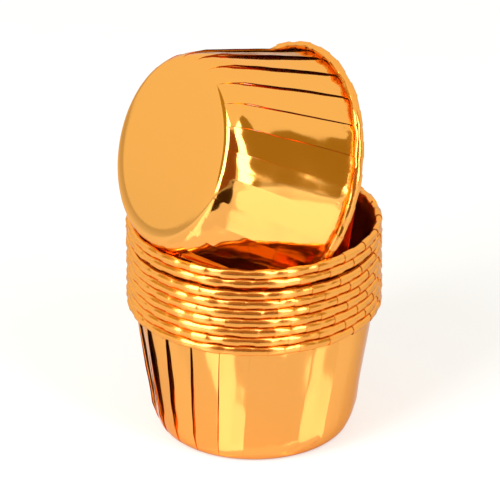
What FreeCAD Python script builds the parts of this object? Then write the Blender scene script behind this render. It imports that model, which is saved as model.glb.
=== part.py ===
import FreeCAD, Part
import math
import os

from FreeCAD import Placement, Rotation, Vector

# Stack of foil baking cups. Nine cups stand one in another, and a tenth lies across their
# mouth. Each cup is one disc of thin sheet: a flat base, a rounded heel, a tapered wall of
# 24 knife pleats, and a rim that is rolled outwards into a hollow curl.
# The base of the lowest cup stands at Z = 0, centred on the origin.

# One cup, in millimetres
base_radius = 22.3
heel_radius = 26.8
heel_height = 7.1
heel_fullness = 0.667
mouth_radius = 31.4
curl_width = 2.1
cup_height = 38.0
curl_height = 2.68
sheet = 0.10
curl_wall = 0.32

# Pleats
pleat_count = 24
fold_run = 0.35
outer_step = 0.34
inner_step = 0.17
curl_step = 0.18
flat_corners = 2

# Facets of the heel, without and with pleats
plain_bands = 2
folded_bands = 3

# Nest
nested_count = 9
nest_play = 0.02
sprung_gap = 0.77
sprung_cups = 2
cup_turns = [6.1, 0.6, 9.0, 1.7, 10.5, 3.5, 12.0, 6.0, 0.0]

# The cup that lies across the mouth
tipped_heading = 30.5
tipped_dip = 21.8
tipped_x = -21.7
tipped_y = -13.3
tipped_turn = 1.0
seat_gap = 0.1

# Derived sizes
pitch_angle = 2.0 * math.pi / pleat_count
rim_radius = mouth_radius + curl_width
heel_corner = base_radius + heel_fullness * (heel_radius - base_radius)
curl_middle = cup_height - curl_height / 2.0
wall_slope = (mouth_radius - heel_radius) / (cup_height - curl_height - heel_height)
flat_loss = mouth_radius * (1.0 - math.cos(pitch_angle / 2.0))
wall_step = (sheet + nest_play + flat_loss) / wall_slope
nest_step = max(curl_height, wall_step)
front = -math.pi / 2.0
same_point = 1e-6


def wall_radius(height):
    """Outer radius of the straight wall at a height above the cup's base."""
    return heel_radius + wall_slope * (height - heel_height)


def outer_line(bands):
    """Outside of the sheet from the base's edge, which the heel leaves flat, to the neck."""
    points = []
    for index in range(bands + 1):
        t = index / bands
        radius = (1 - t) ** 2 * base_radius + 2 * t * (1 - t) * heel_corner + t * t * heel_radius
        points.append((radius, t * t * heel_height))
    points.append((mouth_radius, cup_height - curl_height))
    return points


def curl_points():
    """Inner line of the wall's top and the curl: an octagon whose inner side is the wall."""
    half_height = curl_height / 2.0
    side = half_height * math.tan(math.pi / 8.0)
    inner = wall_radius(curl_middle + side) - sheet
    centre = (inner + rim_radius) / 2.0
    flat = (rim_radius - inner) / 2.0 * math.tan(math.pi / 8.0)
    return [
        (inner, curl_middle + side),
        (centre - flat, cup_height),
        (centre + flat, cup_height),
        (rim_radius, curl_middle + side),
        (rim_radius, curl_middle - side),
        (centre + flat, cup_height - curl_height),
        (centre - flat, cup_height - curl_height),
    ]


def hollow_points():
    """Outer line of the sheet inside the curl, from the neck round to the free edge."""
    curl = curl_points()
    centre = (curl[1][0] + curl[2][0]) / 2.0
    return [
        (wall_radius(curl_middle), curl_middle),
        (centre, cup_height - curl_wall),
        (rim_radius - curl_wall, curl_middle),
        (curl[-1][0], cup_height - curl_height + curl_wall),
    ]


def offset_line(points, distance):
    """The same line moved to its right by a distance, with mitred corners."""
    normals = []
    for (r0, z0), (r1, z1) in zip(points, points[1:]):
        length = math.hypot(r1 - r0, z1 - z0)
        normals.append(((z1 - z0) / length, -(r1 - r0) / length))
    moved = []
    for index, (radius, height) in enumerate(points):
        before = normals[max(index - 1, 0)]
        after = normals[min(index, len(normals) - 1)]
        share = 1.0 + before[0] * after[0] + before[1] * after[1]
        moved.append((
            radius + distance * (before[0] + after[0]) / share,
            height + distance * (before[1] + after[1]) / share,
        ))
    return moved


def line_normals(points):
    """Unit directions square to a line at each of its points, to its left."""
    normals = []
    for index in range(len(points)):
        r0, z0 = points[max(index - 1, 0)]
        r1, z1 = points[min(index + 1, len(points) - 1)]
        length = math.hypot(r1 - r0, z1 - z0)
        normals.append((-(z1 - z0) / length, (r1 - r0) / length))
    return normals


def pleat_ring(point, normal, before, after):
    """One ring of the sheet: the pair of points either side of the step at every fold."""
    pairs = []
    run = 0.0
    if before or after:
        run = fold_run / point[0]
    for index in range(pleat_count):
        angle = front + index * pitch_angle
        pair = []
        for rise, turn in ((before, run), (after, 0.0)):
            radius = point[0] + rise * normal[0]
            height = point[1] + rise * normal[1]
            across = angle - turn
            pair.append(Vector(radius * math.cos(across), radius * math.sin(across), height))
        pairs.append(pair)
    return pairs


def patch(corners):
    """Flat faces over up to four corners: one where they are level, else two."""
    kept = []
    for corner in corners:
        if all(corner.distanceToPoint(other) > same_point for other in kept):
            kept.append(corner)
    if len(kept) < 3:
        return []
    if len(kept) == 4:
        normal = (kept[1] - kept[0]).cross(kept[2] - kept[0])
        normal.normalize()
        if abs(normal.dot(kept[3] - kept[0])) > same_point:
            return patch(kept[:3]) + patch([kept[0], kept[2], kept[3]])
    return [Part.Face(Part.makePolygon(kept + [kept[0]]))]


def band(lower, upper):
    """The folds and panels between two rings of the sheet."""
    faces = []
    for index in range(pleat_count):
        after = (index + 1) % pleat_count
        faces += patch([lower[index][0], lower[index][1], upper[index][1], upper[index][0]])
        faces += patch([lower[index][1], lower[after][0], upper[after][0], upper[index][1]])
    return faces


def disc(ring):
    """The flat base inside a ring without steps."""
    corners = [pair[1] for pair in ring]
    return Part.Face(Part.makePolygon(corners + [corners[0]]))


def inner_line(bands):
    """Inside of the sheet from the base's edge to the curl's free edge."""
    return offset_line(outer_line(bands), -sheet) + curl_points()


def wall_steps(size, bands):
    """Depth of the folds at each ring from the base, where they start from nothing."""
    return [size * min(1.0, index / bands) for index in range(len(outer_line(bands)))]


def curl_steps():
    """Depth of the folds at each corner of the curl: none where it starts and at its edge."""
    corners = len(curl_points())
    return [0.0] * flat_corners + [curl_step] * (corners - flat_corners - 1) + [0.0]


def make_cup(outer_size, inner_size, bands):
    """One cup as a closed solid of the thin sheet, standing at the origin."""
    outside = outer_line(bands) + hollow_points()
    steps = wall_steps(outer_size, bands) + [0.0] * len(hollow_points())
    rings = []
    for point, normal, step in zip(outside, line_normals(outside), steps):
        rings.append(pleat_ring(point, normal, -step, 0.0))
    inside = inner_line(bands)
    wall = wall_steps(inner_size, bands)
    steps = wall + [0.0] * len(curl_points())
    tucks = [0.0] * len(wall) + curl_steps()
    inner_rings = []
    for point, normal, step, tuck in zip(inside, line_normals(inside), steps, tucks):
        inner_rings.append(pleat_ring(point, normal, -tuck, step))
    faces = [disc(rings[0]), disc(inner_rings[0])]
    loop = rings + inner_rings[::-1]
    for lower, upper in zip(loop, loop[1:]):
        faces += band(lower, upper)
    cup = Part.Solid(Part.Shell(faces))
    if cup.Volume < 0:
        cup.reverse()
    return cup


def nest_height(index):
    """Height of a nested cup's base: curl on curl, and a gap under the top cups."""
    lift = index * nest_step
    if index >= nested_count - sprung_cups:
        lift += sprung_gap
    return lift


def inside_height(radius):
    """Height of a cup's inside, or of its rim, at a distance from its axis."""
    line = [(0.0, sheet)] + inner_line(folded_bands)
    for (r0, z0), (r1, z1) in zip(line, line[1:]):
        if radius <= r1:
            return z0 + (z1 - z0) * (radius - r0) / (r1 - r0)
    return -math.inf


def seat_height(radius):
    """Height that clears the top cup all round at a distance from its axis."""
    at_flat = inside_height(radius / math.cos(pitch_angle / 2.0))
    return nest_height(nested_count - 1) + max(inside_height(radius), at_flat)


def tipped_placement(cup):
    """Lays a cup across the mouth and lets it down until it meets the top cup."""
    turn = Rotation(Vector(0, 0, 1), tipped_turn)
    dip = Rotation(Vector(0, 1, 0), 90.0 + tipped_dip)
    heading = Rotation(Vector(0, 0, 1), tipped_heading)
    rotation = heading.multiply(dip).multiply(turn)
    clear = Placement(Vector(tipped_x, tipped_y, 0), rotation)
    lift = -math.inf
    for edge in cup.Edges:
        start, end = (clear.multVec(vertex.Point) for vertex in edge.Vertexes)
        samples = max(2, int(start.distanceToPoint(end) / fold_run))
        for index in range(samples + 1):
            point = start + (end - start) * (index / samples)
            lift = max(lift, seat_height(math.hypot(point.x, point.y)) - point.z)
    return Placement(Vector(tipped_x, tipped_y, lift + seat_gap), rotation)


def main():
    os.makedirs("parts", exist_ok=True)
    middle = make_cup(0.0, 0.0, plain_bands)
    cups = [middle] * nested_count
    cups[0] = make_cup(outer_step, 0.0, folded_bands)
    cups[-1] = make_cup(0.0, inner_step, plain_bands)
    for index, cup in enumerate(cups):
        placed = cup.copy()
        turn = Rotation(Vector(0, 0, 1), cup_turns[index % len(cup_turns)])
        placed.Placement = Placement(Vector(0, 0, nest_height(index)), turn)
        placed.exportStep("parts/nested_cup_%d.step" % (index + 1))
    tipped = make_cup(outer_step, inner_step, folded_bands)
    tipped.Placement = tipped_placement(tipped)
    tipped.exportStep("parts/tipped_cup.step")


main()
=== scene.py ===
import math

import bmesh
import bpy
from bpy.props import (
    FloatProperty, FloatVectorProperty, IntProperty, PointerProperty, StringProperty)
from mathutils import Matrix, Vector


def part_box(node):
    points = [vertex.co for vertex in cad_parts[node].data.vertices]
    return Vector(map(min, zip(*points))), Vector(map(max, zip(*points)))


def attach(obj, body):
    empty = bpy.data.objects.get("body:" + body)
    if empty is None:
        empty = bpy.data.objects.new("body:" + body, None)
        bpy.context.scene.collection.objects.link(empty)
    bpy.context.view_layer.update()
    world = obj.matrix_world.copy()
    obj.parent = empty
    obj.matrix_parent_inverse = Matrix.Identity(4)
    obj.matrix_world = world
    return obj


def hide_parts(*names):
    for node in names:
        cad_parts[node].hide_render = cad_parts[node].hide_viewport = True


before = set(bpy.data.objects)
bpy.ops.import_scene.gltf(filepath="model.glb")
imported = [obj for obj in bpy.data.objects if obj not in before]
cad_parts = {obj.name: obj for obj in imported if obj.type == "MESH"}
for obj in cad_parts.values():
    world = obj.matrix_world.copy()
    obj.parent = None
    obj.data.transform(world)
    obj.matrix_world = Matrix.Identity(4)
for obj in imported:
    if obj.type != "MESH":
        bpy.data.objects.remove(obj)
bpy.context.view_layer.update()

bl_info = {
    "name": "Foil Baking Cups",
    "version": (1, 0, 0),
    "blender": (4, 5, 0),
    "location": "3D View > Sidebar > Baking Cups",
    "description": "Models a nest of gold foil baking cups with one cup lying across its mouth",
    "category": "Object",
}

MM = 0.001
NESTED = sorted(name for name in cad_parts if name.startswith("nested_cup"))
LOWEST, NEXT = NESTED[:2]
LYING = "tipped_cup"


def node_size(node):
    """Width, depth and height of a frame node."""
    low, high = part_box(node)
    return [high[axis] - low[axis] for axis in range(3)]


def to_linear(code):
    """An sRGB hex colour as linear red, green and blue."""
    values = []
    for start in (1, 3, 5):
        value = int(code[start:start + 2], 16) / 255.0
        values.append(value / 12.92 if value <= 0.04045 else ((value + 0.055) / 1.055) ** 2.4)
    return values


class CupSizes(bpy.types.PropertyGroup):
    """Sizes of one cup."""
    rim_radius: FloatProperty(
        name="Rim radius", description="From the axis to the outside of the rolled rim",
        default=node_size(NEXT)[0] / 2.0, unit="LENGTH", precision=5)
    height: FloatProperty(
        name="Height", description="From the base to the top of the rolled rim",
        default=node_size(LOWEST)[2], unit="LENGTH", precision=5)
    roll_height: FloatProperty(
        name="Roll height", description="Height of the rolled rim",
        default=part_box(NEXT)[0][2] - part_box(LOWEST)[0][2], unit="LENGTH", precision=5)
    roll_slack: FloatProperty(
        name="Roll slack", description="How much the roll falls short of the next at each side",
        default=0.12 * MM, unit="LENGTH", precision=5)
    base_radius: FloatProperty(
        name="Base radius", description="Radius of the flat base",
        default=22.7 * MM, unit="LENGTH", precision=5)
    heel_radius: FloatProperty(
        name="Heel radius", description="Radius where the rounded heel meets the wall",
        default=26.8 * MM, unit="LENGTH", precision=5)
    heel_height: FloatProperty(
        name="Heel height", description="Height of the rounded heel",
        default=7.1 * MM, unit="LENGTH", precision=5)
    heel_corner: FloatProperty(
        name="Heel corner", description="Radius that sets how full the heel's curve is",
        default=25.6 * MM, unit="LENGTH", precision=5)
    neck_radius: FloatProperty(
        name="Neck radius", description="Radius of the wall just under the roll",
        default=31.4 * MM, unit="LENGTH", precision=5)
    sheet: FloatProperty(
        name="Sheet", description="Thickness of the laminated paper",
        default=0.06 * MM, unit="LENGTH", precision=5)


class PleatSizes(bpy.types.PropertyGroup):
    """Sizes of the knife pleats."""
    count: IntProperty(name="Pleats", description="Pleats round a cup", default=24, min=3)
    lift: FloatProperty(
        name="Fold lift", description="How far a fold stands off the middle of the sheet",
        default=0.15 * MM, unit="LENGTH", precision=5)
    roll_lift: FloatProperty(
        name="Seam lift", description="How far a fold stands off the rolled rim",
        default=0.14 * MM, unit="LENGTH", precision=5)
    slant: FloatProperty(
        name="Slant", description="Share of the tuck's taper that the proud crease takes up",
        default=0.72, min=0.0, max=1.0)
    flatness: FloatProperty(
        name="Flatness", description="How flat a panel is: 0 follows the cone, 1 is a plane",
        default=0.6, min=0.0, max=1.0)
    pucker: FloatProperty(
        name="Pucker", description="Height of the small bump where a fold starts at the heel",
        default=0.22 * MM, unit="LENGTH", precision=5)
    gape: FloatProperty(
        name="Gape", description="Scale of the open pleats, where 1 mm leaves them as listed",
        default=1.0 * MM, unit="LENGTH", precision=5)
    wave: FloatProperty(
        name="Wave", description="Soft unevenness of the pressed panels",
        default=0.35 * MM, unit="LENGTH", precision=5)
    dent: FloatProperty(
        name="Dents", description="Unevenness of the rolled rim",
        default=0.18 * MM, unit="LENGTH", precision=5)
    crinkle: FloatProperty(
        name="Crinkle", description="Fine crumpling just under the roll",
        default=0.40 * MM, unit="LENGTH", precision=5)


class Finish(bpy.types.PropertyGroup):
    """Colours of the gold film."""
    gold: StringProperty(
        name="Gold", description="Colour of the lacquered film, as sRGB hex", default="#FBB14B")
    amber: StringProperty(
        name="Amber", description="Colour of the light scattered in the lacquer, as sRGB hex",
        default="#F08C28")
    edge: StringProperty(
        name="Edge", description="Tint of the film at a grazing view, as sRGB hex",
        default="#FBD8A4")
    roughness: FloatProperty(
        name="Roughness", description="Roughness of the film", default=0.09, min=0.0, max=1.0)
    coat: FloatProperty(
        name="Coat", description="Weight of the clear lacquer", default=0.4, min=0.0, max=1.0)
    grain: FloatProperty(
        name="Grain", description="Strength of the paper grain under the film",
        default=0.05, min=0.0, max=1.0)
    creasing: FloatProperty(
        name="Creasing", description="Strength of the fine creases where the sheet was rolled",
        default=0.22, min=0.0, max=1.0)
    haze: FloatProperty(
        name="Haze", description="Share of light that the film scatters widely",
        default=0.05, min=0.0, max=1.0)
    rolled_haze: FloatProperty(
        name="Rolled haze", description="The same share where the sheet was rolled",
        default=0.22, min=0.0, max=1.0)


class Studio(bpy.types.PropertyGroup):
    """Camera and light."""
    elevation: FloatProperty(
        name="Camera elevation", description="Angle of the view above the table",
        default=0.460, subtype="ANGLE")
    distance: FloatProperty(
        name="Camera distance", description="From the aim point to the camera",
        default=2.236, unit="LENGTH")
    aim: FloatVectorProperty(
        name="Aim point", description="Point at the middle of the picture",
        default=(-1.088 * MM, 0.0, 49.82 * MM), subtype="XYZ", precision=5)
    picture_height: FloatProperty(
        name="Picture height", description="Height of the view at the aim point",
        default=131.2 * MM, unit="LENGTH", precision=5)
    lamp: StringProperty(
        name="Lamp", description="Colour of the softboxes, as sRGB hex", default="#D9DDFF")
    board: StringProperty(
        name="Board", description="Colour of the white board, as sRGB hex", default="#F4F4F4")
    board_gloss: FloatProperty(
        name="Board gloss", description="Share of the light that the board mirrors",
        default=0.16, min=0.0, max=1.0)
    room_light: FloatProperty(
        name="Room light", description="Strength of the white room as it lights dull surfaces",
        default=0.55, min=0.0)


# Turns of the nested cups in degrees from the lowest up, and the pose of the lying cup
CUP_TURNS = (6.1, 0.6, 9.0, 1.7, 10.5, 3.5, 12.0, 6.0, 0.0)
LYING_HEADING = 30.5
LYING_DIP = 21.8
LYING_TURN = -1.8
LYING_TWIST = 4.3
LYING_DROP = 0.3 * MM
SEAM_TO_FOLD = 7.0

# Folds that stand open, counted round the cup. Each has how far it stands off as a share of the
# gape, the columns bent, the power of the bend across them, and the power of its fade to the
# ends, where less is evener. Folds 1 and 2 of the lowest cup lean out over their whole height.
LOWEST_GAPES = {
    -7: (0.2, 3, 1.0, 0.5), -6: (0.35, 3, 1.0, 0.5), -5: (0.55, 3, 1.0, 0.5),
    -4: (0.55, 3, 1.0, 0.5), -3: (0.45, 3, 1.0, 0.5), -2: (0.2, 3, 1.0, 0.5),
    -1: (0.15, 2, 1.0, 0.5), 1: (1.0, 8, 1.5, 0.12), 2: (1.5, 8, 1.5, 0.12),
}
LYING_GAPES = {
    17: (0.3, 3, 1.0, 0.5), 18: (0.35, 3, 1.0, 0.5), 19: (0.35, 3, 1.0, 0.5),
    20: (0.3, 3, 1.0, 0.5), 21: (0.15, 3, 1.0, 0.5),
}

# Rows up the sheet and columns across one panel, with closer rows from NECK_START up the wall
HEEL_ROWS = 9
WALL_ROWS = 12
NECK_ROWS = 4
NECK_START = 0.86
ROLL_ROWS = 18
PANEL_COLUMNS = 8
ROLL_END = math.radians(-150)
BASE_RINGS = (0.9, 0.88, 0.85, 0.8, 0.7, 0.5)
WELD = 0.002 * MM
CREASE_ANGLE = math.radians(34)

# A fold: the tuck that allows its full lift, as a multiple of the lift, and the share of a panel
# over which the sheet rises from tucked under to proud
FULL_TUCK = 1.5
PANEL_RISE = 0.62

# The bump where a fold starts: its height as a multiple of the heel's, and how far it reaches
BUMP_PLACE = 1.1
BUMP_REACH = 1.3 * MM

# The groove at a seam of the roll: lift of the columns at it and beside it, how far their
# neighbours move towards it in columns, and how flat the roll's panels are beside the wall's
GROOVE_LIFTS = {0: -1.0, 1: 0.4}
GROOVE_PULL = 0.6
ROLL_FLATNESS = 0.5

# Size of each unevenness, and how crumpled the neck is of a nested and of the lying cup
WAVE_SIZE = 9.0 * MM
DENT_SIZE = 3.0 * MM
CRINKLE_SIZE = 1.1 * MM
NESTED_CRUMPLE = 1.0
LYING_CRUMPLE = 1.6

# Where each is full from, and over how much height it fades out. The wall's are shares of the
# heel's height; the others are shares of the roll's height, counted up from the neck.
WAVE_ZONE = (0.7, 0.6)
DENT_ZONE = (0.4, 0.4)
CRINKLE_ZONE = (-0.1, 0.6)
GAPE_START = 0.6

# Softboxes: azimuth and elevation in degrees, width and height in metres, and power in watts
LAMP_DISTANCE = 1.0
LAMPS = (
    ("left softbox", -42.0, 32.0, 0.42, 1.06, 11.6),
    ("right softbox", 41.0, 32.0, 0.28, 1.06, 6.6),
)

# Glowing cards seen only in the foil, as painted reflections of a dim room: azimuth and elevation
# in degrees, then their spans
CARD_DISTANCE = 1.8
CARDS = (
    ("dim front", "#885228", 0.5, 27.0, 56.0, 56.0),
    ("dim left", "#B09A3E", -74.0, 33.0, 36.0, 48.0),
    ("dim right", "#A08C3A", 61.5, 26.0, 27.0, 66.0),
)

# A dark card lying on the table in front of the cups, seen only in the foil as a painted dark
# reflection, wider at its far end
STRIP_TONE = "#2A1A0A"
STRIP_SIZE = (0.15, 0.96)
STRIP_MIDDLE = (0, -0.67, 0.3 * MM)
STRIP_SPREAD = 8.0

# The table's size, and its drop under the cups
TABLE_SIZE = (6.0, 6.0)
TABLE_PLACE = (0, 0, -0.1 * MM)


def start_clean():
    """Leaves edit mode and deselects everything."""
    if bpy.context.object and bpy.context.object.mode != "OBJECT":
        bpy.ops.object.mode_set(mode="OBJECT")
    bpy.ops.object.select_all(action="DESELECT")


def make_active(piece):
    """Selects one object alone."""
    start_clean()
    piece.select_set(True)
    bpy.context.view_layer.objects.active = piece


def section_points(cup):
    """The sheet's section from the base's edge up the wall and round the roll."""
    points = []
    for index in range(HEEL_ROWS):
        t = index / HEEL_ROWS
        radius = (1 - t) ** 2 * cup.base_radius + 2 * t * (1 - t) * cup.heel_corner
        points.append((radius + t * t * cup.heel_radius, t * t * cup.heel_height))
    neck = cup.height - cup.roll_height
    slope = (cup.neck_radius - cup.heel_radius) / (neck - cup.heel_height)
    for index in range(WALL_ROWS + NECK_ROWS):
        if index < WALL_ROWS:
            share = index / WALL_ROWS * NECK_START
        else:
            share = NECK_START + (1.0 - NECK_START) * (index - WALL_ROWS + 1) / NECK_ROWS
        height = cup.heel_height + share * (neck - cup.heel_height)
        points.append((cup.heel_radius + slope * (height - cup.heel_height), height))
    middle = cup.height - cup.roll_height / 2.0
    inner = cup.heel_radius + slope * (middle - cup.heel_height)
    centre = (inner + cup.rim_radius) / 2.0
    half_height = cup.roll_height / 2.0 - cup.roll_slack
    for index in range(ROLL_ROWS):
        angle = math.pi + (ROLL_END - math.pi) * index / (ROLL_ROWS - 1)
        across = (cup.rim_radius - inner) / 2.0 * math.cos(angle)
        points.append((centre + across, middle + half_height * math.sin(angle)))
    return points


def section_normals(points):
    """Directions square to the section, out of the wall's outer face."""
    normals = []
    for index in range(len(points)):
        before = Vector(points[max(index - 1, 0)])
        after = Vector(points[min(index + 1, len(points) - 1)])
        along = (after - before).normalized()
        normals.append((along.y, -along.x))
    return normals


def tuck_lengths(points, count):
    """Depth of the tuck at each row: half of what the flat blank has to spare there."""
    length = points[0][0]
    tucks = [0.0]
    for before, after in zip(points, points[1:]):
        length += math.dist(before, after)
        tucks.append(max(0.0, math.pi * (length - after[0]) / count))
    return tucks


def pick(mesh, rows=None, columns=None):
    """Selects the vertices of some rows and columns, or all, and returns them."""
    row_layer = mesh.verts.layers.int["row"]
    column_layer = mesh.verts.layers.int["column"]
    chosen = []
    for part in (*mesh.faces, *mesh.edges):
        part.select = False
    for vertex in mesh.verts:
        inside = rows is None or vertex[row_layer] in rows
        inside = inside and (columns is None or vertex[column_layer] in columns)
        vertex.select = inside
        if inside:
            chosen.append(vertex)
    mesh.select_flush(True)
    return chosen


def draw_section(points):
    """Draws the section as a line, one extruded vertex after another."""
    radius, height = points[0]
    bpy.ops.mesh.primitive_plane_add(size=MM, location=(radius, 0, height), enter_editmode=True)
    piece = bpy.context.object
    bpy.ops.mesh.merge(type="CENTER")
    for before, after in zip(points, points[1:]):
        step = (after[0] - before[0], 0.0, after[1] - before[1])
        bpy.ops.mesh.extrude_region_move(TRANSFORM_OT_translate={"value": step})
    return piece


def label_rows(piece, points):
    """Writes each vertex's row and column, so that they can be picked later."""
    mesh = bmesh.from_edit_mesh(piece.data)
    rows = mesh.verts.layers.int.new("row")
    mesh.verts.layers.int.new("column")
    place = piece.matrix_world
    for vertex in mesh.verts:
        spot = place @ vertex.co
        nearest = min(range(len(points)), key=lambda row: math.dist(points[row], (spot.x, spot.z)))
        vertex[rows] = nearest
    bmesh.update_edit_mesh(piece.data)


def move_row(piece, row, column, turn, shift, normal):
    """Turns one vertex of a column round the cup's axis and moves it off the sheet."""
    mesh = bmesh.from_edit_mesh(piece.data)
    vertex = pick(mesh, {row}, {column})[0]
    bmesh.update_edit_mesh(piece.data)
    angle = math.atan2(vertex.co.y, vertex.co.x) + turn
    if turn:
        bpy.ops.transform.rotate(value=-turn, orient_axis="Z", center_override=(0, 0, 0))
    if shift:
        way = (normal[0] * math.cos(angle), normal[0] * math.sin(angle), normal[1])
        bpy.ops.transform.translate(value=[shift * part for part in way])


def extrude_column(piece, column):
    """Extrudes a column in place and labels the new one."""
    mesh = bmesh.from_edit_mesh(piece.data)
    pick(mesh, None, {column})
    bmesh.update_edit_mesh(piece.data)
    bpy.ops.mesh.extrude_region_move(TRANSFORM_OT_translate={"value": (0, 0, 0)})
    mesh = bmesh.from_edit_mesh(piece.data)
    layer = mesh.verts.layers.int["column"]
    for vertex in mesh.verts:
        if vertex.select:
            vertex[layer] = column + 1
    bmesh.update_edit_mesh(piece.data)


def panel_lift(column):
    """Share of the fold's lift across a panel: from tucked under to standing proud."""
    share = min(1.0, column / (PANEL_COLUMNS * PANEL_RISE))
    return -1.0 + 2.0 * share * share * (3.0 - 2.0 * share)


def roll_seam(column, pitch):
    """Lift and turn of a column on the roll, which is pinched in a narrow groove at each fold."""
    pull = GROOVE_PULL * pitch / PANEL_COLUMNS
    turns = {1: -pull, PANEL_COLUMNS - 1: pull}
    return GROOVE_LIFTS.get(column, 1.0), turns.get(column, 0.0)


def panel_sag(column, pitch):
    """How far a flat panel lies inside the round, as a share of the radius."""
    angle = (column / PANEL_COLUMNS - 0.5) * pitch
    return 1.0 - math.cos(pitch / 2.0) / math.cos(angle)


def model_pleat(cup, pleats):
    """One panel of the sheet with its knife fold, from the base's edge round the roll."""
    points = section_points(cup)
    normals = section_normals(points)
    tucks = tuck_lengths(points, pleats.count)
    rise = [min(1.0, tuck / (pleats.lift * FULL_TUCK)) * pleats.lift for tuck in tucks]
    neck = HEEL_ROWS + WALL_ROWS + NECK_ROWS - 1
    rise[neck + 1:] = [pleats.roll_lift] * (len(points) - neck - 1)
    turns = [tuck / radius for tuck, (radius, height) in zip(tucks, points)]
    middle = cup.heel_height * BUMP_PLACE
    bumps = [math.exp(-((height - middle) / BUMP_REACH) ** 2) for radius, height in points]
    pitch = 2.0 * math.pi / pleats.count
    piece = draw_section(points)
    bpy.ops.object.mode_set(mode="OBJECT")
    bpy.ops.object.transform_apply(location=True, rotation=True, scale=True)
    bpy.ops.object.mode_set(mode="EDIT")
    label_rows(piece, points)
    bpy.ops.mesh.select_all(action="SELECT")
    bpy.ops.mesh.spin(steps=PANEL_COLUMNS, angle=pitch, center=(0, 0, 0), axis=(0, 0, 1))
    mesh = bmesh.from_edit_mesh(piece.data)
    column_layer = mesh.verts.layers.int["column"]
    spun = max(math.atan2(v.co.y, v.co.x) for v in mesh.verts) > pitch / 2.0
    for vertex in mesh.verts:
        angle = math.atan2(vertex.co.y, vertex.co.x)
        vertex[column_layer] = round((angle if spun else angle + pitch) / pitch * PANEL_COLUMNS)
    bmesh.update_edit_mesh(piece.data)
    if not spun:
        bpy.ops.mesh.select_all(action="SELECT")
        bpy.ops.transform.rotate(value=-pitch, orient_axis="Z", center_override=(0, 0, 0))
    rows = range(1, len(points))
    for column in range(PANEL_COLUMNS + 1):
        swell = pleats.pucker * max(0.0, column - PANEL_COLUMNS + 2) / 2.0
        for row in rows:
            flat = pleats.flatness * min(1.0, rise[row] / pleats.lift) * points[row][0]
            lift, turn = panel_lift(column), 0.0
            if row > neck:
                flat = ROLL_FLATNESS * pleats.flatness * points[row][0]
                lift, turn = roll_seam(column, pitch)
            shift = lift * rise[row] + swell * bumps[row]
            shift -= flat * panel_sag(column, pitch)
            move_row(piece, row, column, turn, shift, normals[row])
    last = PANEL_COLUMNS
    for column, way, lower in ((last, -1.0, 1.0), (last + 1, 0.0, 1.0), (last + 2, 1.0, 0.0)):
        extrude_column(piece, column)
        for row in rows:
            turn = way * tucks[row] / points[row][0]
            move_row(piece, row, column + 1, turn, -lower * rise[row], normals[row])
    for row in range(len(points)):
        mesh = bmesh.from_edit_mesh(piece.data)
        pick(mesh, {row}, None)
        bmesh.update_edit_mesh(piece.data)
        slant = pleats.slant * (turns[row] - turns[neck])
        bpy.ops.transform.rotate(value=-slant, orient_axis="Z", center_override=(0, 0, 0))
    bpy.ops.object.mode_set(mode="OBJECT")
    return piece


def repeat_round(piece, count):
    """Copies the pleat round the axis and joins the copies along the sheet."""
    make_active(piece)
    bpy.ops.object.mode_set(mode="EDIT")
    copies = 1
    while copies < count:
        factor = 2 if count % (copies * 2) == 0 else 3
        bpy.ops.mesh.select_all(action="SELECT")
        for step in range(factor - 1):
            bpy.ops.mesh.duplicate_move()
            bpy.ops.transform.rotate(
                value=-2.0 * math.pi * copies / count, orient_axis="Z", center_override=(0, 0, 0))
        copies *= factor
    bpy.ops.mesh.select_all(action="SELECT")
    bpy.ops.mesh.remove_doubles(threshold=WELD)
    bpy.ops.object.mode_set(mode="OBJECT")


def fill_base(piece):
    """Draws the base's edge inwards in rings and closes the middle."""
    make_active(piece)
    bpy.ops.object.mode_set(mode="EDIT")
    mesh = bmesh.from_edit_mesh(piece.data)
    pick(mesh, {0}, None)
    bmesh.update_edit_mesh(piece.data)
    for scale in BASE_RINGS:
        bpy.ops.mesh.extrude_region_move(TRANSFORM_OT_translate={"value": (0, 0, 0)})
        bpy.ops.transform.resize(value=(scale, scale, 1), center_override=(0, 0, 0))
    bpy.ops.mesh.extrude_region_move(TRANSFORM_OT_translate={"value": (0, 0, 0)})
    bpy.ops.mesh.merge(type="CENTER")
    bpy.ops.mesh.select_all(action="SELECT")
    bpy.ops.mesh.normals_make_consistent(inside=False)
    bpy.ops.object.mode_set(mode="OBJECT")


def model_cup(cup, pleats):
    """One whole cup of thin sheet without its thickness, standing at the origin."""
    start_clean()
    piece = model_pleat(cup, pleats)
    repeat_round(piece, pleats.count)
    fill_base(piece)
    mark_worked(piece, cup)
    piece.name = "cup_pattern"
    return piece


def weigh(piece, name, low, high, fade):
    """A vertex group that is full between two heights and fades out above and below."""
    group = piece.vertex_groups.new(name=name)
    for vertex in piece.data.vertices:
        outside = max(low - vertex.co.z, vertex.co.z - high, 0.0)
        weight = max(0.0, 1.0 - outside / fade)
        if weight:
            group.add([vertex.index], weight, "REPLACE")
    return group.name


def crumple(piece, name, size, strength, group):
    """Uneven surface from a cloud pattern of a real size, equal in all layers."""
    texture = bpy.data.textures.new(name, "CLOUDS")
    texture.noise_scale = size
    texture.noise_depth = 1
    texture.cloud_type = "COLOR"
    modifier = piece.modifiers.new(name, "DISPLACE")
    modifier.texture = texture
    modifier.texture_coords = "GLOBAL"
    modifier.direction = "RGB_TO_XYZ"
    modifier.strength = strength
    modifier.mid_level = 0.5
    modifier.vertex_group = group


def mark_worked(piece, cup):
    """Stores how hard the sheet was worked at each point: most in the roll and the neck."""
    neck = cup.height - cup.roll_height
    worked = piece.data.attributes.new("worked", "FLOAT", "POINT")
    for vertex, item in zip(piece.data.vertices, worked.data):
        item.value = min(1.0, max(0.0, 1.0 + (vertex.co.z - neck) / (cup.roll_height * 0.5)))


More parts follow.
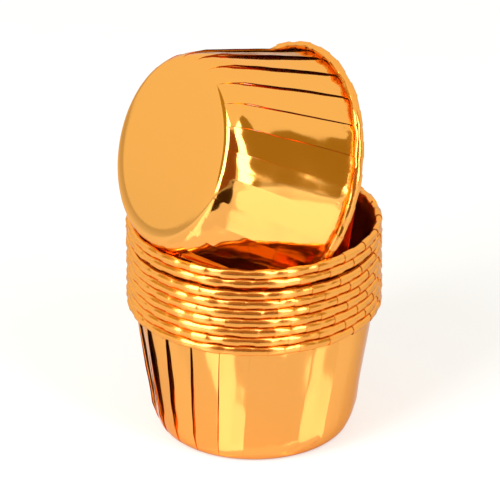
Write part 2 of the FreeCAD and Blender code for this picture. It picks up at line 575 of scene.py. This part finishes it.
def age_cup(piece, cup, pleats, matrix, rough):
    """Sets a cup in its place with its own soft waves, dents in the roll and a crumpled neck."""
    neck = cup.height - cup.roll_height
    start, fade = [share * cup.heel_height for share in WAVE_ZONE]
    wall = weigh(piece, "wall", start, cup.height, fade)
    start, fade = [share * cup.roll_height for share in DENT_ZONE]
    roll = weigh(piece, "roll", neck + start, cup.height, fade)
    start, fade = [share * cup.roll_height for share in CRINKLE_ZONE]
    under = weigh(piece, "neck", neck + start, neck, fade)
    place(piece, matrix)
    crumple(piece, "wave", WAVE_SIZE, pleats.wave, wall)
    crumple(piece, "dents", DENT_SIZE, pleats.dent, roll)
    crumple(piece, "crinkle", CRINKLE_SIZE, pleats.crinkle * rough, under)


def open_folds(piece, gapes, cup, pleats):
    """Lifts the proud edge of some folds, most at half height."""
    pitch = 2.0 * math.pi / pleats.count
    start = cup.heel_height * GAPE_START
    span = cup.height - cup.roll_height - start
    columns = [item.value for item in piece.data.attributes["column"].data]
    for fold, (gape, reach, bend, fade) in gapes.items():
        angle = fold * pitch
        group = piece.vertex_groups.new(name="gape")
        for vertex in piece.data.vertices:
            spot = vertex.co
            inside = PANEL_COLUMNS - columns[vertex.index]
            weight = max(0.0, 1.0 - inside / reach) ** bend if inside >= 0 else 0.0
            up = (spot.z - start) / span
            away = math.atan2(spot.y, spot.x) - angle + pitch * inside / PANEL_COLUMNS
            away = math.atan2(math.sin(away), math.cos(away))
            if weight and 0.0 < up < 1.0 and abs(away) < pitch * 0.5:
                group.add([vertex.index], weight * math.sin(math.pi * up) ** fade, "REPLACE")
        for direction, part in (("X", math.cos(angle)), ("Y", math.sin(angle))):
            modifier = piece.modifiers.new("gape", "DISPLACE")
            modifier.direction = direction
            modifier.mid_level = 0.0
            modifier.strength = gape * pleats.gape * part
            modifier.vertex_group = group.name
    make_active(piece)
    for modifier in list(piece.modifiers):
        bpy.ops.object.modifier_apply(modifier=modifier.name)


def place(piece, matrix):
    """Moves a piece's mesh and leaves its object at the origin."""
    make_active(piece)
    piece.matrix_world = matrix
    bpy.ops.object.transform_apply(location=True, rotation=True, scale=True)


def finish_cup(piece, node, cup):
    """Thickness, smooth panels and sharp folds, and the finished piece's place in the frame."""
    thick = piece.modifiers.new("sheet", "SOLIDIFY")
    thick.thickness = cup.sheet
    thick.offset = 0.0
    make_active(piece)
    for modifier in list(piece.modifiers):
        bpy.ops.object.modifier_apply(modifier=modifier.name)
    bpy.ops.object.shade_smooth_by_angle(angle=CREASE_ANGLE)
    piece.vertex_groups.clear()
    piece.data.materials.clear()
    piece.data.materials.append(gold_film())
    piece.name = "foil_" + node
    piece.data.name = piece.name
    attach(piece, "root")
    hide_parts(node)


def copy_pattern():
    """A copy of the modelled cup with its own mesh."""
    pattern = bpy.data.objects["cup_pattern"]
    make_active(pattern)
    bpy.ops.object.duplicate()
    return bpy.context.object


def make_node(tree, kind, settings, links):
    """Adds one node, sets its values and links its sockets."""
    node = tree.nodes.new(kind)
    for name, value in settings.items():
        if isinstance(name, int) or name in node.inputs:
            node.inputs[name].default_value = value
        else:
            setattr(node, name, value)
    for socket, source in links.items():
        tree.links.new(source, node.inputs[socket])
    return node


def gold_film():
    """Gold-lacquered metallised film laminated on paper: a warm mirror with a clear lacquer."""
    name = "gold-lacquered metallised film on paper"
    if name in bpy.data.materials:
        return bpy.data.materials[name]
    finish = bpy.context.scene.baking_cup_finish
    material = bpy.data.materials.new(name)
    material.use_nodes = True
    tree = material.node_tree
    tree.nodes.clear()
    places = make_node(tree, "ShaderNodeTexCoord", {}, {})
    # Paper grain shows through the film as a faint ripple, about a millimetre from bump to bump
    grain = make_node(
        tree, "ShaderNodeTexNoise", {"Scale": 1.0 / (1.1 * MM), "Detail": 3.0},
        {"Vector": places.outputs["Object"]})
    bump = make_node(
        tree, "ShaderNodeBump", {"Strength": finish.grain, "Distance": 0.05 * MM},
        {"Height": grain.outputs["Fac"]})
    # Where the sheet was rolled or crumpled the film is creased and duller, so the rolled rims
    # break up the softboxes into streaks
    worked = make_node(tree, "ShaderNodeAttribute", {"attribute_name": "worked"}, {})
    creases = make_node(
        tree, "ShaderNodeTexNoise", {"Scale": 1.0 / (2.4 * MM), "Detail": 2.0},
        {"Vector": places.outputs["Object"]})
    depth = make_node(
        tree, "ShaderNodeMapRange", {"To Min": 0.0, "To Max": finish.creasing},
        {"Value": worked.outputs["Fac"]})
    creased = make_node(
        tree, "ShaderNodeBump", {"Distance": 0.25 * MM},
        {"Height": creases.outputs["Fac"], "Strength": depth.outputs["Result"],
         "Normal": bump.outputs["Normal"]})
    dull = make_node(
        tree, "ShaderNodeMapRange",
        {"To Min": finish.roughness, "To Max": finish.roughness + 0.1},
        {"Value": worked.outputs["Fac"]})
    scatter = make_node(
        tree, "ShaderNodeMapRange", {"To Min": finish.haze, "To Max": finish.rolled_haze},
        {"Value": worked.outputs["Fac"]})
    shader = make_node(
        tree, "ShaderNodeBsdfPrincipled",
        {"Base Color": to_linear(finish.gold) + [1.0], "Metallic": 1.0,
         "Specular Tint": to_linear(finish.edge) + [1.0],
         "Coat Weight": finish.coat, "Coat Roughness": 0.04},
        {"Normal": creased.outputs["Normal"], "Roughness": dull.outputs["Result"]})
    # The pressed paper scatters a little light widely, twice through the amber lacquer, which
    # keeps the folds and the gaps between rolls from going black
    haze = make_node(
        tree, "ShaderNodeBsdfPrincipled",
        {"Base Color": to_linear(finish.amber) + [1.0], "Metallic": 1.0, "Roughness": 0.5,
         "Specular Tint": to_linear(finish.edge) + [1.0]},
        {"Normal": bump.outputs["Normal"]})
    both = make_node(
        tree, "ShaderNodeMixShader", {},
        {0: scatter.outputs["Result"], 1: shader.outputs["BSDF"], 2: haze.outputs["BSDF"]})
    make_node(tree, "ShaderNodeOutputMaterial", {}, {"Surface": both.outputs["Shader"]})
    return material


class BAKING_OT_pattern(bpy.types.Operator):
    """Model one pleated cup as the pattern for all of them"""
    bl_idname = "baking.pattern"
    bl_label = "Cup Pattern"

    def execute(self, context):
        scene = context.scene
        model_cup(scene.baking_cup_sizes, scene.baking_cup_pleats)
        return {"FINISHED"}


class BAKING_OT_nest(bpy.types.Operator):
    """Place the nested cups, each with its own turn and its own unevenness"""
    bl_idname = "baking.nest"
    bl_label = "Nested Cups"

    def execute(self, context):
        cup = context.scene.baking_cup_sizes
        pleats = context.scene.baking_cup_pleats
        for index, node in enumerate(NESTED):
            piece = copy_pattern()
            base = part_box(node)[0][2]
            seam = math.radians(CUP_TURNS[index] + SEAM_TO_FOLD)
            turn = Matrix.Rotation(seam - math.pi / 2.0, 4, "Z")
            if node == LOWEST:
                open_folds(piece, LOWEST_GAPES, cup, pleats)
            matrix = Matrix.Translation((0, 0, base)) @ turn
            age_cup(piece, cup, pleats, matrix, NESTED_CRUMPLE)
            finish_cup(piece, node, cup)
        return {"FINISHED"}


class BAKING_OT_lying_cup(bpy.types.Operator):
    """Lay the last cup across the mouth of the nest"""
    bl_idname = "baking.lying_cup"
    bl_label = "Lying Cup"

    def execute(self, context):
        cup = context.scene.baking_cup_sizes
        pleats = context.scene.baking_cup_pleats
        piece = copy_pattern()
        twist = piece.modifiers.new("twist", "SIMPLE_DEFORM")
        twist.deform_method = "TWIST"
        twist.deform_axis = "Z"
        twist.angle = math.radians(LYING_TWIST)
        bpy.ops.object.modifier_apply(modifier=twist.name)
        open_folds(piece, LYING_GAPES, cup, pleats)
        heading = Matrix.Rotation(math.radians(LYING_HEADING), 4, "Z")
        dip = Matrix.Rotation(math.radians(90.0 + LYING_DIP), 4, "Y")
        turn = Matrix.Rotation(math.radians(LYING_TURN) - math.pi / 2.0, 4, "Z")
        pose = heading @ dip @ turn
        corners = [pose @ vertex.co for vertex in piece.data.vertices]
        shift = []
        for axis, (low, high) in enumerate(zip(*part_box(LYING))):
            here = [corner[axis] for corner in corners]
            shift.append((low + high - min(here) - max(here)) / 2.0)
        shift[2] -= LYING_DROP
        age_cup(piece, cup, pleats, Matrix.Translation(shift) @ pose, LYING_CRUMPLE)
        finish_cup(piece, LYING, cup)
        bpy.data.objects.remove(bpy.data.objects["cup_pattern"])
        return {"FINISHED"}


def stage_plane(name, size, matrix, material):
    """A flat stage piece, such as the table or a reflector."""
    start_clean()
    bpy.ops.mesh.primitive_plane_add(size=1.0)
    piece = bpy.context.object
    piece.name = name
    piece.matrix_world = matrix @ Matrix.Diagonal((size[0], size[1], 1.0, 1.0))
    bpy.ops.object.transform_apply(location=True, rotation=True, scale=True)
    piece.data.materials.append(material)
    return piece


def facing(azimuth, elevation, distance, aim):
    """A frame on a sphere round the aim point that looks back at it, from angles in degrees."""
    turn = Matrix.Rotation(math.radians(azimuth), 4, "Z")
    turn = turn @ Matrix.Rotation(math.radians(90.0 - elevation), 4, "X")
    return Matrix.Translation(aim) @ turn @ Matrix.Translation((0, 0, distance))


def soft_light(name, matrix, width, height, power, code):
    """A rectangular softbox."""
    data = bpy.data.lights.new(name, "AREA")
    data.shape = "RECTANGLE"
    data.size, data.size_y = width, height
    data.energy = power
    data.color = to_linear(code)
    lamp = bpy.data.objects.new(name, data)
    bpy.context.collection.objects.link(lamp)
    lamp.matrix_world = matrix


def table_material(studio):
    """White gloss board, which the camera itself sees as plain white with the shadow."""
    material = bpy.data.materials.new("white gloss board")
    material.use_nodes = True
    tree = material.node_tree
    tree.nodes.clear()
    white = to_linear(studio.board) + [1.0]
    rays = make_node(tree, "ShaderNodeLightPath", {}, {})
    board = make_node(tree, "ShaderNodeBsdfDiffuse", {"Color": white}, {})
    sheen = make_node(tree, "ShaderNodeBsdfGlossy", {"Color": white, "Roughness": 0.1}, {})
    gloss = make_node(
        tree, "ShaderNodeMixShader", {0: studio.board_gloss},
        {1: board.outputs["BSDF"], 2: sheen.outputs["BSDF"]})
    plain = make_node(tree, "ShaderNodeBsdfDiffuse", {"Color": (0.56, 0.54, 0.43, 1)}, {})
    lift = make_node(tree, "ShaderNodeEmission", {"Color": (1, 1, 1, 1), "Strength": 0.52}, {})
    seen = make_node(
        tree, "ShaderNodeAddShader", {}, {0: plain.outputs["BSDF"], 1: lift.outputs["Emission"]})
    both = make_node(
        tree, "ShaderNodeMixShader", {},
        {0: rays.outputs["Is Camera Ray"], 1: gloss.outputs["Shader"], 2: seen.outputs["Shader"]})
    make_node(tree, "ShaderNodeOutputMaterial", {}, {"Surface": both.outputs["Shader"]})
    return material


def card_material(name, code):
    """A glowing card that paints one even tone into the foil's reflections."""
    material = bpy.data.materials.new(name)
    material.use_nodes = True
    tree = material.node_tree
    tree.nodes.clear()
    light = make_node(
        tree, "ShaderNodeEmission", {"Color": to_linear(code) + [1.0], "Strength": 1.0}, {})
    make_node(tree, "ShaderNodeOutputMaterial", {}, {"Surface": light.outputs["Emission"]})
    return material


def hang_card(name, code, size, matrix):
    """A glowing card of one even tone that is seen in the foil alone, as a painted reflection."""
    card = stage_plane(name, size, matrix, card_material(name, code))
    card.visible_camera = False
    card.visible_diffuse = False
    card.visible_shadow = False
    return card


def widen_far_edge(card, scale):
    """Makes a card lying in front of the cups wider at its far edge."""
    make_active(card)
    bpy.ops.object.mode_set(mode="EDIT")
    mesh = bmesh.from_edit_mesh(card.data)
    far = min(vertex.co.y for vertex in mesh.verts)
    for part in (*mesh.faces, *mesh.edges):
        part.select = False
    for vertex in mesh.verts:
        vertex.select = vertex.co.y < far + MM
    mesh.select_flush(True)
    bmesh.update_edit_mesh(card.data)
    bpy.ops.transform.resize(value=(scale, 1, 1), center_override=(0, 0, 0))
    bpy.ops.object.mode_set(mode="OBJECT")


def light_room(scene, strength):
    """A white room, at full strength as the camera and the foil see it."""
    world = bpy.data.worlds.new("white studio")
    scene.world = world
    world.use_nodes = True
    tree = world.node_tree
    tree.nodes.clear()
    rays = make_node(tree, "ShaderNodeLightPath", {}, {})
    seen = make_node(
        tree, "ShaderNodeMath", {"operation": "MAXIMUM"},
        {0: rays.outputs["Is Camera Ray"], 1: rays.outputs["Is Glossy Ray"]})
    level = make_node(
        tree, "ShaderNodeMapRange", {"To Min": strength, "To Max": 1.0},
        {"Value": seen.outputs["Value"]})
    light = make_node(
        tree, "ShaderNodeBackground", {"Color": (1, 1, 1, 1)},
        {"Strength": level.outputs["Result"]})
    make_node(tree, "ShaderNodeOutputWorld", {}, {"Surface": light.outputs["Background"]})


def set_camera(scene, studio, aim):
    """A long lens from the photo's side, framed on the aim point."""
    data = bpy.data.cameras.new("camera")
    data.sensor_width = 36.0
    data.lens = data.sensor_width * studio.distance / studio.picture_height
    camera = bpy.data.objects.new("camera", data)
    scene.collection.objects.link(camera)
    camera.matrix_world = facing(0.0, math.degrees(studio.elevation), studio.distance, aim)
    scene.camera = camera


class BAKING_OT_stage(bpy.types.Operator):
    """Set the table, the softboxes, the cards that the foil mirrors and the camera"""
    bl_idname = "baking.stage"
    bl_label = "Studio"

    def execute(self, context):
        scene = context.scene
        studio = scene.baking_cup_studio
        aim = Vector(studio.aim)
        stage_plane("table", TABLE_SIZE, Matrix.Translation(TABLE_PLACE), table_material(studio))
        for name, azimuth, elevation, width, height, power in LAMPS:
            matrix = facing(azimuth, elevation, LAMP_DISTANCE, aim)
            soft_light(name, matrix, width, height, power, studio.lamp)
        light_room(scene, studio.room_light)
        # Painted reflections of the room: glowing cards that only the foil sees
        for name, code, azimuth, elevation, width, height in CARDS:
            spans = (math.radians(width), math.radians(height))
            size = [2.0 * CARD_DISTANCE * math.tan(span / 2.0) for span in spans]
            hang_card(name, code, size, facing(azimuth, elevation, CARD_DISTANCE, aim))
        # Painted dark reflection: a dark card on the table that only the foil sees
        strip = hang_card("dark front", STRIP_TONE, STRIP_SIZE, Matrix.Translation(STRIP_MIDDLE))
        widen_far_edge(strip, STRIP_SPREAD)
        set_camera(scene, studio, aim)
        scene.view_settings.view_transform = "Standard"
        return {"FINISHED"}


class BAKING_PT_cups(bpy.types.Panel):
    """Sizes and steps of the baking cups"""
    bl_idname = "BAKING_PT_cups"
    bl_label = "Baking Cups"
    bl_space_type = "VIEW_3D"
    bl_region_type = "UI"
    bl_category = "Baking Cups"

    def draw(self, context):
        for name in GROUPS:
            group = getattr(context.scene, name)
            for key in group.__annotations__:
                self.layout.prop(group, key)
        for operator in STEPS:
            self.layout.operator(operator.bl_idname)


GROUPS = {
    "baking_cup_sizes": CupSizes,
    "baking_cup_pleats": PleatSizes,
    "baking_cup_finish": Finish,
    "baking_cup_studio": Studio,
}
STEPS = (BAKING_OT_pattern, BAKING_OT_nest, BAKING_OT_lying_cup, BAKING_OT_stage)


def register():
    for group in GROUPS.values():
        bpy.utils.register_class(group)
    for operator in STEPS:
        bpy.utils.register_class(operator)
    bpy.utils.register_class(BAKING_PT_cups)
    for name, group in GROUPS.items():
        setattr(bpy.types.Scene, name, PointerProperty(type=group))


def unregister():
    for name in GROUPS:
        delattr(bpy.types.Scene, name)
    bpy.utils.unregister_class(BAKING_PT_cups)
    for operator in reversed(STEPS):
        bpy.utils.unregister_class(operator)
    for group in reversed(list(GROUPS.values())):
        bpy.utils.unregister_class(group)


def main():
    register()
    bpy.ops.baking.pattern()
    bpy.ops.baking.nest()
    bpy.ops.baking.lying_cup()
    bpy.ops.baking.stage()


if __name__ == "__main__":
    main()
